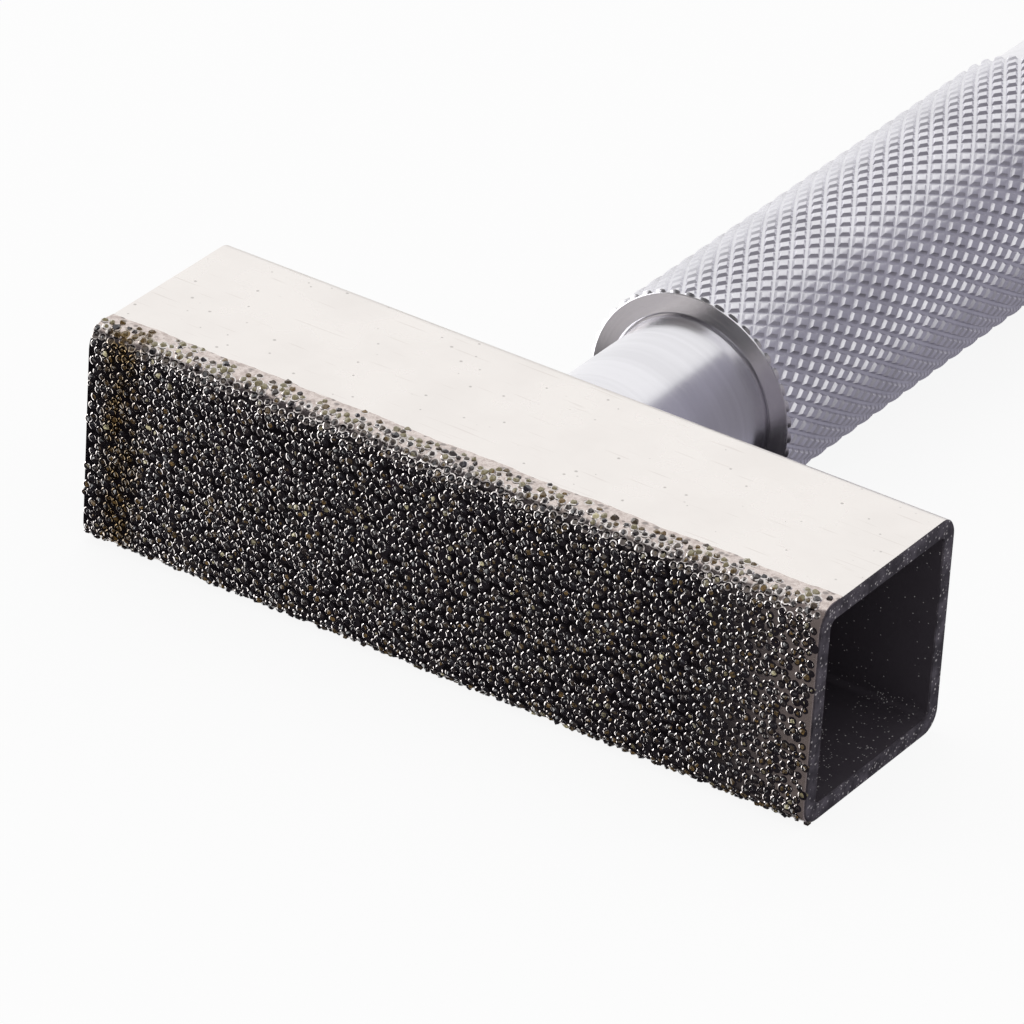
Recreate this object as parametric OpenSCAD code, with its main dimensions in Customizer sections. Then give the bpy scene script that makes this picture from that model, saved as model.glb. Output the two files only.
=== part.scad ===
// Diamond wheel dresser: a square steel tube with diamond grit on its front face, on a knurled handle.
// X runs along the tube, Y along the handle away from the diamonds, and Z is up.
// The origin is the middle of the tube's bottom face, which lies on the grinder's tool rest.

/* [Head tube] */
// Length of the square tube, the width that the tool dresses
tube_length = 45; // [25:1:80]
// Outside width and height of the square tube
tube_side = 12.7; // [11:0.1:16]
// Thickness of the tube's walls
tube_wall = 1; // [0.8:0.1:1.4]
// Outside radius of the tube's corners
corner_r = 1.2; // [0.8:0.1:2]
// Inside radius of the tube's corners
inner_corner_r = 0.4; // [0.2:0.1:1]

/* [Diamond layer] */
// Thickness of the plated nickel that holds the grit
bond_thickness = 0.25; // [0.15:0.05:0.5]
// How far back the plating runs round the front corners
bond_wrap = 0.8; // [0.3:0.1:1]
// Distance between neighbouring high and low points of the grit
grain_pitch = 0.62; // [0.55:0.01:1.5]
// Height of the tallest grains above the nickel
grain_height = 0.2; // [0.1:0.02:0.4]
// Strip of nickel without grains along the edges of the front face
grain_margin = 0.15; // [0.1:0.05:1]

/* [Handle] */
// Diameter of the plain neck behind the tube
neck_d = 9.6; // [8.4:0.1:10.6]
// Length of the neck between the tube and the flanged ring
neck_length = 10.5; // [5:0.5:30]
// Step of the thin collar where the neck meets the ring, on the radius
collar_step = 0.17; // [0.1:0.01:0.4]
// Length of the thin collar
collar_length = 0.5; // [0.3:0.1:2]
// Diameter of the flanged ring in front of the knurl
ring_d = 12.4; // [11.8:0.1:12.5]
// Length of the flanged ring
ring_length = 0.4; // [0.3:0.05:3]
// Chamfer on the front edge of the flanged ring
ring_chamfer = 0.2; // [0.1:0.05:0.25]
// Diameter over the tips of the knurl
knurl_d = 12.8; // [12.7:0.1:14]
// Length of the knurl
knurl_length = 36.5; // [15:0.5:45]
// Distance between neighbouring ridges of the knurl, square to the ridges
knurl_pitch = 0.8; // [0.8:0.1:2]
// Angle between the ridges of the knurl and the handle's axis
knurl_angle = 31; // [25:1:45]
// Depth of the grooves of the knurl
knurl_depth = 0.4; // [0.2:0.05:0.45]
// Diameter of the plain shank behind the knurl
shank_d = 11.8; // [8:0.1:11.8]
// Length of the plain shank
shank_length = 60; // [10:1:150]
// Chamfer on the rear end of the shank
shank_chamfer = 0.8; // [0.3:0.1:2]

/* [Fixing] */
// Nominal diameter of the thread on the handle's spigot
thread_d = 6; // [4:0.5:7]
// Radial clearance between the plain spigot and the nut's bore
thread_clearance = 0.05; // [0.02:0.01:0.2]
// Radial clearance of the spigot in the tube's back wall and in the washer
hole_clearance = 0.2; // [0.1:0.05:0.4]
// Length of the spigot that stands out past the nut
spigot_tip = 0.6; // [0.3:0.1:1.5]
// Gap between the nut and the tube's walls that keep it from turning
nut_clearance = 0.35; // [0.1:0.05:0.8]
// Height of the square nut
nut_height = 5; // [3:0.1:6]
// Thickness of the spring washer
washer_thickness = 1.6; // [1:0.1:2]
// How much smaller the washer is than the nut, on each side
washer_inset = 0.05; // [0.05:0.05:0.4]
// Width of the slit in the spring washer
washer_slit = 0.7; // [0.4:0.1:1.5]

/* [Hidden] */
$fn = 96;
// Overlap that makes cuts run clear through
cut = 1;

// Square tube
inner_side = tube_side - 2 * tube_wall;
flat_side = tube_side - 2 * corner_r;
axis_z = tube_side / 2;
front_y = -tube_side / 2;
back_y = tube_side / 2;
hole_r = thread_d / 2 + hole_clearance;

// Places along the handle, measured from the middle of the tube
washer_y = back_y - tube_wall - washer_thickness;
nut_y = washer_y - nut_height;
spigot_y = nut_y - spigot_tip;
ring_y = back_y + neck_length;
knurl_y = ring_y + ring_length;
knurl_end_y = knurl_y + knurl_length;
handle_end_y = knurl_end_y + shank_length;

// Radii of the handle
spigot_r = thread_d / 2 - thread_clearance;
spigot_chamfer = spigot_tip / 2;
neck_r = neck_d / 2;
collar_r = neck_r + collar_step;
ring_r = ring_d / 2;
shank_r = shank_d / 2;
// How far the turned lengths run into the knurled band, so that they are one piece
band_lap = 0.1;

// Knurl: crests and groove crossings take turns round each ring of points
knurl_r = knurl_d / 2;
groove_r = knurl_r - knurl_depth;
knurl_starts = round(PI * (knurl_d - knurl_depth) * cos(knurl_angle) / knurl_pitch);
ring_points = 2 * knurl_starts;
knurl_rows = round(knurl_length / (knurl_pitch / sin(knurl_angle) / 2));
row_step = knurl_length / knurl_rows;
// The grooves run out to this radius at the ring, and the crests are broken to this radius at the far end
groove_start_r = max(groove_r, ring_r + 0.05);
crest_end_r = knurl_r - knurl_depth / 2;
// The band's end faces run in to this radius, well inside the turned lengths
hub_r = neck_r / 2;

// Grit: low and high points take turns over a grid on the flat of the front face
grit_seed = 7;
grit_size = [tube_length - 2 * grain_margin, flat_side - 2 * grain_margin];
grit_cells = [for (s = grit_size) floor(s / grain_pitch)];
grit_row = grit_cells.x + 1;
grit_count = grit_row * (grit_cells.y + 1);
grit_rise = rands(0, 1, grit_count, grit_seed);
grit_shift_x = rands(-1, 1, grit_count, grit_seed + 1);
grit_shift_z = rands(-1, 1, grit_count, grit_seed + 2);
// Share of the pitch by which a point may lie off the grid
grit_scatter = 0.25;
// Lowest points of the grit, as a share of the grain height
grit_floor = 0.1;

// Square nut
nut_side = inner_side - 2 * nut_clearance;
nut_bore_r = thread_d / 2;
nut_countersink = 0.4;
washer_r = nut_side / 2 - washer_inset;

// Turns a shape made along Z so that it lies along the handle, at the height of its axis
module along_handle() {
    translate([0, 0, axis_z]) rotate([-90, 0, 0]) children();
}

// Runs a section drawn in Y and Z along the whole tube
module along_tube() {
    translate([0, 0, axis_z]) rotate([90, 0, 90]) linear_extrude(tube_length, center = true) children();
}

module rounded_square(side, r) {
    square([side, side - 2 * r], center = true);
    square([side - 2 * r, side], center = true);
    for (sx = [-1, 1], sy = [-1, 1])
        translate([sx, sy] * (side / 2 - r)) circle(r);
}

module head_tube() {
    color([0.87, 0.86, 0.84]) difference() {
        along_tube() difference() {
            rounded_square(tube_side, corner_r);
            rounded_square(inner_side, inner_corner_r);
        }
        along_handle() translate([0, 0, back_y - tube_wall - cut]) cylinder(tube_wall + 2 * cut, r = hole_r);
    }
}

// The plating is thickest on the front face and thins out round the corners
module bond_section() {
    intersection() {
        difference() {
            translate([-bond_thickness, 0]) rounded_square(tube_side, corner_r);
            rounded_square(tube_side, corner_r);
        }
        translate([front_y - bond_thickness - cut, -tube_side / 2])
            square([bond_thickness + cut + bond_wrap, tube_side]);
    }
}

function on_grit_edge(i, j) = i == 0 || j == 0 || i == grit_cells.x || j == grit_cells.y;

// Height of a point of the grit above the nickel
function grit_height(i, j) =
    let (rise = grit_rise[j * grit_row + i])
    on_grit_edge(i, j) ? grit_floor * grain_height
    : (i + j) % 2 == 0 ? grain_height * (grit_floor + 0.25 * rise)
    : grain_height * (0.6 + 0.4 * rise);

function grit_point(i, j) =
    let (
        n = j * grit_row + i,
        loose = on_grit_edge(i, j) ? 0 : grit_scatter,
        x = (i + loose * grit_shift_x[n]) * grit_size.x / grit_cells.x,
        z = (j + loose * grit_shift_z[n]) * grit_size.y / grit_cells.y
    )
    [x - grit_size.x / 2, front_y - bond_thickness - grit_height(i, j), axis_z + z - grit_size.y / 2];

// The grains as one closed relief, with its back inside the nickel
module grit() {
    back = front_y - bond_thickness / 2;
    corners = [for (sz = [-1, 1], sx = [-1, 1]) [sx * grit_size.x / 2, back, axis_z + sz * grit_size.y / 2]];
    top = [for (j = [0 : grit_cells.y]) for (i = [0 : grit_cells.x]) grit_point(i, j)];
    cells = [
        for (j = [0 : grit_cells.y - 1]) for (i = [0 : grit_cells.x - 1])
            let (a = j * grit_row + i, b = a + 1, c = a + grit_row, d = c + 1)
            each (i + j) % 2 == 0 ? [[a, c, b], [d, b, c]] : [[b, a, d], [c, d, a]]
    ];
    last = grit_cells.y * grit_row;
    walls = [
        [grit_count, each [for (i = [0 : grit_cells.x]) i], grit_count + 1],
        [grit_count + 3, each [for (i = [grit_cells.x : -1 : 0]) last + i], grit_count + 2],
        [grit_count + 2, each [for (j = [grit_cells.y : -1 : 0]) j * grit_row], grit_count],
        [grit_count + 1, each [for (j = [0 : grit_cells.y]) j * grit_row + grit_cells.x], grit_count + 3],
        [grit_count, grit_count + 1, grit_count + 3, grit_count + 2]
    ];
    polyhedron(concat(top, corners), concat(cells, walls));
}

module diamond_layer() {
    color([0.22, 0.2, 0.17]) {
        along_tube() bond_section();
        grit();
    }
}

// Half section of everything that is turned on the handle, from the spigot to the rear end
module turned_section() {
    polygon([
        [0, spigot_y],
        [spigot_r - spigot_chamfer, spigot_y],
        [spigot_r, spigot_y + spigot_chamfer],
        [spigot_r, back_y],
        [neck_r, back_y],
        [neck_r, ring_y - collar_length],
        [collar_r, ring_y - collar_length + collar_step],
        [collar_r, ring_y],
        [ring_r - ring_chamfer, ring_y],
        [ring_r, ring_y + ring_chamfer],
        [ring_r, knurl_y + band_lap],
        [neck_r, knurl_y + band_lap],
        [neck_r, knurl_end_y - band_lap],
        [shank_r, knurl_end_y - band_lap],
        [shank_r, handle_end_y - shank_chamfer],
        [shank_r - shank_chamfer, handle_end_y],
        [0, handle_end_y]
    ]);
}

// Radius of point j in ring k, where the rings before the first and after the last lie inside the handle
function knurl_radius(k, j) =
    k < 0 || k > knurl_rows ? hub_r
    : (k + j) % 2 == 0 ? (k == knurl_rows ? crest_end_r : knurl_r)
    : (k == 0 ? groove_start_r : groove_r);

// The knurled band: raised pyramids between two sets of crossing helical grooves
module knurl() {
    points = [
        for (k = [-1 : knurl_rows + 1]) for (j = [0 : ring_points - 1])
            let (
                r = knurl_radius(k, j),
                a = 360 * j / ring_points,
                y = knurl_y + min(max(k, 0), knurl_rows) * row_step
            )
            [r * cos(a), r * sin(a), y]
    ];
    flanks = [
        for (k = [0 : knurl_rows + 1]) for (j = [0 : ring_points - 1])
            let (
                a = k * ring_points + j,
                b = k * ring_points + (j + 1) % ring_points,
                c = a + ring_points,
                d = b + ring_points
            )
            each (k + j) % 2 == 0 ? [[b, a, d], [c, d, a]] : [[a, c, b], [d, b, c]]
    ];
    front = [for (j = [0 : ring_points - 1]) j];
    rear = [for (j = [ring_points - 1 : -1 : 0]) (knurl_rows + 2) * ring_points + j];
    polyhedron(points, concat(flanks, [front, rear]));
}

module handle() {
    color([0.76, 0.76, 0.78]) along_handle() {
        rotate_extrude() turned_section();
        knurl();
    }
}

module square_nut() {
    corner = nut_side / sqrt(2);
    // The corners are turned down at 30 degrees on the side away from the washer
    fall = (corner - nut_side / 2) * tan(30);
    color([0.72, 0.73, 0.72]) along_handle() difference() {
        intersection() {
            translate([-nut_side / 2, -nut_side / 2, nut_y]) cube([nut_side, nut_side, nut_height]);
            rotate_extrude() polygon([
                [0, nut_y], [nut_side / 2, nut_y], [corner, nut_y + fall],
                [corner + cut, nut_y + fall], [corner + cut, washer_y], [0, washer_y]
            ]);
        }
        translate([0, 0, nut_y - cut]) cylinder(nut_height + 2 * cut, r = nut_bore_r);
        translate([0, 0, nut_y]) cylinder(nut_countersink, nut_bore_r + nut_countersink, nut_bore_r);
        translate([0, 0, washer_y - nut_countersink])
            cylinder(nut_countersink, nut_bore_r, nut_bore_r + nut_countersink);
    }
}

module spring_washer() {
    slit_turn = 25;
    color([0.55, 0.55, 0.56]) along_handle() difference() {
        translate([0, 0, washer_y]) cylinder(washer_thickness, r = washer_r);
        translate([0, 0, washer_y - cut]) cylinder(washer_thickness + 2 * cut, r = hole_r);
        translate([0, -washer_r, washer_y + washer_thickness / 2]) rotate([0, slit_turn, 0])
            cube([washer_slit, 2 * washer_r, 4 * washer_thickness], center = true);
    }
}

head_tube();
diamond_layer();
handle();
square_nut();
spring_washer();
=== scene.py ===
"""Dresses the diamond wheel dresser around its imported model.

X runs along the tube, Y along the handle away from the diamonds, and Z is up. All lengths are in metres.
"""
from __future__ import annotations

import logging
import math
from dataclasses import dataclass, field
from enum import Enum
from itertools import product
from typing import Any, Iterable, Sequence

import bmesh
import bpy
import numpy as np
from bmesh.types import BMEdge, BMesh, BMVert
from bpy.types import Material, Mesh, Node, NodeSocket, NodeTree, Object
from mathutils import Matrix, Vector

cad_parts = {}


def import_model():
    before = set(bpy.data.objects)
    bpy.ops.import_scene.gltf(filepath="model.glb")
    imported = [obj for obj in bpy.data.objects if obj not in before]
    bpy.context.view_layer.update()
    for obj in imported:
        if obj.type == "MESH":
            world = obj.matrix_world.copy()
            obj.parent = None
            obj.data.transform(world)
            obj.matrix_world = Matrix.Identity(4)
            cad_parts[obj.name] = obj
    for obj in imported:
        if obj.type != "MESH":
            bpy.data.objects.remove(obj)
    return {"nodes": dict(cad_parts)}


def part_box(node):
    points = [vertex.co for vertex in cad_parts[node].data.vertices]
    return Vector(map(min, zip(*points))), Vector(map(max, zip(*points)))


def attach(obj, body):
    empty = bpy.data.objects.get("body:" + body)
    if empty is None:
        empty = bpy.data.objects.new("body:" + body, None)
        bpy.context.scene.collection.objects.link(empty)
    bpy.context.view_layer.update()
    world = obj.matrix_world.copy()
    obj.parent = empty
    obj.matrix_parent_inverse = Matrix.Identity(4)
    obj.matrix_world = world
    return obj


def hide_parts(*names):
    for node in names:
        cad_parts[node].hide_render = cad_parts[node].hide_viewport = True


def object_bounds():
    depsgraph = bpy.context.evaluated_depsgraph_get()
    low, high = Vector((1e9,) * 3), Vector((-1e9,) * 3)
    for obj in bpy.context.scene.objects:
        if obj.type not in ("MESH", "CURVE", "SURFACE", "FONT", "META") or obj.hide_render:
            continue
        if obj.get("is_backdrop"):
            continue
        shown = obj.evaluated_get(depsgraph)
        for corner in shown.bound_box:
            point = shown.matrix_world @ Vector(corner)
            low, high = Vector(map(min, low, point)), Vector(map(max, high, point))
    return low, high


MM = 0.001
BODY = "root"
LOG = logging.getLogger("dresser")
SQUARE = ((0, 0), (1, 0), (1, 1), (0, 1))
WHITE = (1.0, 1.0, 1.0, 1.0)

Colour = tuple[float, float, float, float]
Range = tuple[float, float]
Tone = tuple[float, float, float]


class Slot(Enum):
    """Names of material slots, which seat takes but does not use."""

    NICKEL = "nickel_plate"
    GRIT = "diamond_grit"
    ALUMINIUM = "turned_aluminium"


class TubeSkin(Enum):
    """The three surfaces of the tube, as indices of its material slots."""

    PLATED = 0
    CUT_END = 1
    BORE = 2


class Family(Enum):
    """The two sorts of node group."""

    SHADER = "ShaderNodeTree"
    GEOMETRY = "GeometryNodeTree"


class Layer(Enum):
    """Numbers that the diamond face's points carry, by the names of their layers."""

    TINT = "tint"
    GRIT = "grit"
    RIMS = "rims"
    STAND = "stand"


class Draw(Enum):
    """Seeds of the random draws for each scattered shape."""

    TINT = 3
    SIZE = 5
    FLATNESS = 6
    LIFT = 8
    TURN = 9


def shade(red: int, green: int, blue: int) -> Colour:
    """Turns a colour as a screen shows it into the linear values that a shader takes.

    Args:
        red: Red from 0 to 255.
        green: Green from 0 to 255.
        blue: Blue from 0 to 255.

    Returns:
        The linear colour, fully opaque.
    """
    def linear(level: int) -> float:
        """Undoes the screen's curve for one channel."""
        part = level / 255
        return part / 12.92 if part <= 0.04045 else ((part + 0.055) / 1.055) ** 2.4

    return (linear(red), linear(green), linear(blue), 1.0)


class NodeBoard:
    """A node tree with short ways to add, feed and join its nodes."""

    def __init__(self, tree: NodeTree) -> None:
        """Keeps the tree that the nodes go into."""
        self.tree = tree

    def feed(self, socket: NodeSocket, value: Any) -> None:
        """Joins an output to an input socket, or sets the socket's own value.

        Args:
            socket: The input socket.
            value: An output socket, a node whose first output is meant, or a plain value.
        """
        if isinstance(value, Node):
            value = value.outputs[0]
        if isinstance(value, NodeSocket):
            self.tree.links.new(value, socket)
        else:
            socket.default_value = value

    def add(self, kind: str, inputs: dict[str | int, Any] | None = None, **settings: Any) -> Node:
        """Adds one node.

        Args:
            kind: Blender's name for the node's type.
            inputs: Values or outputs for the node's inputs, by name or by index.
            settings: The node's own settings.

        Returns:
            The new node.
        """
        node = self.tree.nodes.new(kind)
        for name, value in settings.items():
            setattr(node, name, value)
        for key, value in (inputs or {}).items():
            self.feed(node.inputs[key], value)
        return node

    def math(self, operation: str, *values: Any, clamp: bool = False) -> NodeSocket:
        """Adds a Math node and returns its output."""
        inputs = dict(enumerate(values))
        return self.add("ShaderNodeMath", inputs, operation=operation, use_clamp=clamp).outputs[0]

    def times(self, first: Any, second: Any) -> NodeSocket:
        """Multiplies two numbers and returns the output."""
        return self.math("MULTIPLY", first, second)

    def minus(self, first: Any, second: Any) -> NodeSocket:
        """Takes the second number from the first and returns the output."""
        return self.math("SUBTRACT", first, second)

    def vector(self, operation: str, *values: Any, **inputs: Any) -> Node:
        """Adds a Vector Math node and returns it."""
        return self.add("ShaderNodeVectorMath", {**dict(enumerate(values)), **inputs}, operation=operation)

    def join(self, *values: Any) -> Node:
        """Adds a vector made of up to three numbers and returns its node."""
        return self.add("ShaderNodeCombineXYZ", dict(enumerate(values)))

    def axes(self, place: Any) -> Sequence[NodeSocket]:
        """Splits a vector and returns the outputs with its X, Y and Z."""
        return self.add("ShaderNodeSeparateXYZ", {0: place}).outputs

    def span(
        self, value: Any, low: float, high: float, to_low: float = 0.0, to_high: float = 1.0,
    ) -> NodeSocket:
        """Maps a range smoothly onto another, held at its ends.

        Args:
            value: The number to map.
            low: Start of the range.
            high: End of the range.
            to_low: Result at the start.
            to_high: Result at the end.

        Returns:
            The output with the mapped number.
        """
        inputs = {"Value": value, "From Min": low, "From Max": high, "To Min": to_low, "To Max": to_high}
        return self.add("ShaderNodeMapRange", inputs, interpolation_type="SMOOTHSTEP").outputs[0]

    def blend(self, share: Any, first: Any, second: Any) -> NodeSocket:
        """Mixes two colours and returns the output."""
        return self.add("ShaderNodeMix", {0: share, 6: first, 7: second}, data_type="RGBA").outputs[2]

    def noise(self, place: Any, scale: Any, detail: float = 2.0, rough: float = 0.5) -> NodeSocket:
        """Adds a noise texture and returns its grey value."""
        inputs = {"Vector": place, "Scale": scale, "Detail": detail, "Roughness": rough}
        return self.add("ShaderNodeTexNoise", inputs).outputs[0]

    def steps(self, value: Any, stops: Sequence[tuple[float, Colour]]) -> NodeSocket:
        """Adds a colour ramp on which each colour holds up to the next stop.

        Args:
            value: The number that picks the colour.
            stops: Places from 0 to 1 with their colours.

        Returns:
            The output with the colour.
        """
        node = self.add("ShaderNodeValToRGB", {0: value})
        node.color_ramp.interpolation = "CONSTANT"
        marks = node.color_ramp.elements
        while len(marks) < len(stops):
            marks.new(1.0)
        for mark, (place, colour) in zip(marks, stops):
            mark.position = place
            mark.color = colour
        return node.outputs[0]


def new_group(
    family: Family, name: str, inputs: dict[str, str | float], outputs: dict[str, str],
) -> tuple[NodeBoard, Any, Any]:
    """Starts a node group.

    Args:
        family: The sort of group.
        name: The group's name.
        inputs: The type of each input, or the default of a plain number, by name.
        outputs: The type of each output, by name.

    Returns:
        The board, the sockets that give the inputs and the sockets that take the results.
    """
    tree = bpy.data.node_groups.new(name, family.value)
    for label, kind in inputs.items():
        plain = isinstance(kind, float)
        sort = "NodeSocketFloat" if plain else f"NodeSocket{kind}"
        socket = tree.interface.new_socket(label, in_out="INPUT", socket_type=sort)
        if plain:
            socket.default_value = kind
    for label, kind in outputs.items():
        tree.interface.new_socket(label, in_out="OUTPUT", socket_type=f"NodeSocket{kind}")
    board = NodeBoard(tree)
    return board, board.add("NodeGroupInput").outputs, board.add("NodeGroupOutput").inputs


def empty_tree(owner: Material | bpy.types.World) -> NodeTree:
    """Gives a material or a world an empty node tree.

    Args:
        owner: The material or the world.

    Returns:
        The tree.
    """
    owner.use_nodes = True
    owner.node_tree.nodes.clear()
    return owner.node_tree


class SurfaceGroups:
    """Shader node groups that several finishes share."""

    speck_least: float = 0.4
    speck_fade: float = 0.6
    ring_turn: float = 0.35
    ring_rough: float = 0.6
    band_scale: float = 0.08

    def __init__(self) -> None:
        """Builds each group once."""
        self.specks = self._specks()
        self.relief = self._relief()
        self.turning = self._turning()

    def _specks(self) -> NodeTree:
        """Builds small round spots scattered over a surface, such as pits and dust.

        Returns:
            The group, which gives a mask.
        """
        inputs = {"Place": "Vector", "Scale": 1000.0, "Share": 0.2, "Size": 0.25}
        board, given, result = new_group(Family.SHADER, "specks", inputs, {"Mask": "Float"})
        source = {"Vector": given["Place"], "Scale": given["Scale"]}
        cells = board.add("ShaderNodeTexVoronoi", source).outputs
        chance, spread, _ = board.add("ShaderNodeSeparateColor", {0: cells["Color"]}).outputs
        chosen = board.math("LESS_THAN", chance, given["Share"])
        reach = board.times(given["Size"], board.math("ADD", spread, self.speck_least))
        depth = board.math("DIVIDE", cells["Distance"], reach)
        depth = board.math("SUBTRACT", 1.0, depth, clamp=True)
        board.feed(result["Mask"], board.times(chosen, board.span(depth, 0.0, self.speck_fade)))
        return board.tree

    def _relief(self) -> NodeTree:
        """Builds an uneven grain in two sizes, for bump and for changes of tone.

        Returns:
            The group, which gives a height.
        """
        inputs = {"Place": "Vector", "Coarse": 800.0, "Fine": 6000.0, "Fine share": 0.4}
        board, given, result = new_group(Family.SHADER, "relief", inputs, {"Height": "Float"})
        coarse = board.noise(given["Place"], given["Coarse"], detail=3.0)
        fine = board.noise(given["Place"], given["Fine"], detail=2.0)
        board.feed(result["Height"], board.add("ShaderNodeMix", {0: given["Fine share"], 2: coarse, 3: fine}))
        return board.tree

    def _turning(self) -> NodeTree:
        """Builds the fine rings left by a lathe, which run round the handle's axis on its sides and faces.

        Returns:
            The group, which gives the rings' height and broader bands.
        """
        inputs = {"Place": "Vector", "Axis height": 0.0, "Rings": 9000.0}
        outputs = {"Height": "Float", "Band": "Float"}
        board, given, result = new_group(Family.SHADER, "turning", inputs, outputs)
        x, y, z = board.axes(given["Place"])
        rise = board.minus(z, given["Axis height"])
        radius = board.vector("LENGTH", board.join(x, rise)).outputs["Value"]
        turn = board.times(board.math("ARCTAN2", rise, x), self.ring_turn)
        rings = board.join(board.times(y, given["Rings"]), board.times(radius, given["Rings"]), turn)
        board.feed(result["Height"], board.noise(rings, scale=1.0, detail=2.0, rough=self.ring_rough))
        broad = board.vector("SCALE", rings, Scale=self.band_scale)
        board.feed(result["Band"], board.noise(broad, scale=1.0, detail=3.0, rough=self.ring_rough))
        return board.tree


class Coat(NodeBoard):
    """The nodes of a material with one Principled shader on Object coordinates."""

    def __init__(self, skin: Material) -> None:
        """Empties a material and gives it the shader.

        Args:
            skin: The material.
        """
        super().__init__(empty_tree(skin))
        self.shader = self.add("ShaderNodeBsdfPrincipled")
        self.add("ShaderNodeOutputMaterial", {"Surface": self.shader})
        self.place = self.add("ShaderNodeTexCoord").outputs["Object"]
        self.x, self.y, self.z = self.axes(self.place)

    def set(self, **values: Any) -> None:
        """Feeds the shader's inputs, named with _ for a space."""
        for label, value in values.items():
            self.feed(self.shader.inputs[label.replace("_", " ")], value)

    def group(self, tree: NodeTree, **values: Any) -> Node:
        """Adds a shared group on the surface, with its other inputs named with _ for a space."""
        inputs = {label.replace("_", " "): value for label, value in values.items()}
        return self.add("ShaderNodeGroup", {"Place": self.place, **inputs}, node_tree=tree)

    def bump(self, height: Any, depth: float) -> None:
        """Leads a height into the shader's normal, where 0 and 1 lie a depth in metres apart."""
        self.set(Normal=self.add("ShaderNodeBump", {"Height": height, "Distance": depth, "Strength": 1.0}))


@dataclass(frozen=True, kw_only=True)
class Finish:
    """Base of the finishes, each of which paints one material."""

    groups: SurfaceGroups
    name: str

    def paint(self, coat: Coat) -> None:
        """Feeds the material's shader, which each finish does in its own way."""
        raise NotImplementedError

    def material(self) -> Material:
        """Makes the material.

        Returns:
            The painted material.
        """
        skin = bpy.data.materials.new(self.name)
        self.paint(Coat(skin))
        return skin


@dataclass(frozen=True, kw_only=True)
class NickelPlate(Finish):
    """Satin nickel plating on the drawn tube: warm, nearly even, with pits and hairline scratches."""

    name: str = "nickel_plate"
    light: Colour = shade(243, 238, 234)
    dull: Colour = shade(240, 235, 231)
    line: Colour = shade(212, 203, 197)
    line_share: float = 0.35
    line_rates: tuple[float, float, float] = (260.0, 5200.0, 5200.0)
    pit: Colour = shade(120, 112, 106)
    pit_share: float = 0.45
    pit_depth: float = 0.8
    roughness: Range = (0.24, 0.38)
    relief_depth: float = 0.004 * MM

    def paint(self, coat: Coat) -> None:
        """Clouds two near tones and adds the hairlines and the pits.

        Args:
            coat: The nickel's nodes.
        """
        cloud = coat.noise(coat.place, scale=160.0, detail=4.0, rough=0.6)
        pits = coat.group(self.groups.specks, Scale=3200.0, Share=0.05, Size=0.3)
        relief = coat.group(self.groups.relief, Coarse=900.0, Fine=7000.0, Fine_share=0.45)
        lines = coat.noise(coat.vector("MULTIPLY", coat.place, self.line_rates), scale=1.0, detail=1.0)
        tone = coat.blend(coat.span(cloud, 0.35, 0.7), self.light, self.dull)
        tone = coat.blend(coat.span(lines, 0.66, 0.74, 0.0, self.line_share), tone, self.line)
        tone = coat.blend(coat.times(pits, self.pit_share), tone, self.pit)
        coat.set(Metallic=1.0, Base_Color=tone, Roughness=coat.span(cloud, 0.3, 0.75, *self.roughness))
        coat.bump(coat.minus(relief, coat.times(pits, self.pit_depth)), self.relief_depth)


@dataclass(frozen=True, kw_only=True)
class CutEnd(Finish):
    """The tube's sawn ends: dark, slightly purple, with fine bright specks."""

    name: str = "cut_end"
    dark: Colour = shade(58, 53, 60)
    light: Colour = shade(98, 92, 100)
    speck: Colour = shade(225, 220, 220)
    speck_share: float = 0.7
    roughness: Range = (0.62, 0.45)
    relief_depth: float = 0.02 * MM

    def paint(self, coat: Coat) -> None:
        """Clouds two dark tones and adds the specks.

        Args:
            coat: The cut end's nodes.
        """
        cloud = coat.noise(coat.place, scale=900.0, detail=4.0, rough=0.65)
        specks = coat.group(self.groups.specks, Scale=5600.0, Share=0.35, Size=0.4)
        tone = coat.blend(coat.span(cloud, 0.35, 0.75), self.dark, self.light)
        tone = coat.blend(coat.times(specks, self.speck_share), tone, self.speck)
        coat.set(Metallic=0.4, Base_Color=tone, Roughness=coat.span(cloud, 0.3, 0.7, *self.roughness))
        coat.bump(cloud, self.relief_depth)


@dataclass(frozen=True, kw_only=True)
class BoreSkin(Finish):
    """The inside of the tube: nearly black, with bright specks of plating along its lower edges."""

    name: str = "tube_inside"
    floor_height: float
    half_width: float
    dark: Colour = shade(72, 66, 74)
    speck: Colour = shade(240, 236, 236)
    speck_share: float = 0.8
    seam: Range = (1.1 * MM, 0.1 * MM)
    floor_share: float = 0.25
    near_share: float = 0.95
    far_share: float = 0.06
    roughness: Range = (0.7, 0.5)
    relief_depth: float = 0.02 * MM

    def paint(self, coat: Coat) -> None:
        """Gathers the specks in patches along the seams between the floor and the walls.

        Args:
            coat: The nodes of the tube's inside.
        """
        low = coat.span(coat.minus(coat.z, self.floor_height), *self.seam)
        gap = coat.minus(self.half_width, coat.math("ABSOLUTE", coat.y))
        corner = coat.math("MAXIMUM", coat.span(gap, *self.seam), self.floor_share)
        patch = coat.span(coat.noise(coat.place, scale=420.0), 0.42, 0.62)
        near = coat.times(coat.times(low, corner), patch)
        share = coat.math("MULTIPLY_ADD", near, self.near_share, self.far_share)
        specks = coat.group(self.groups.specks, Scale=7400.0, Share=share, Size=0.33)
        cloud = coat.noise(coat.place, scale=700.0, detail=3.0, rough=0.6)
        tone = coat.blend(coat.times(specks, self.speck_share), self.dark, self.speck)
        coat.set(Metallic=0.2, Base_Color=tone, Roughness=coat.span(cloud, 0.3, 0.7, *self.roughness))
        coat.bump(cloud, self.relief_depth)


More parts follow.
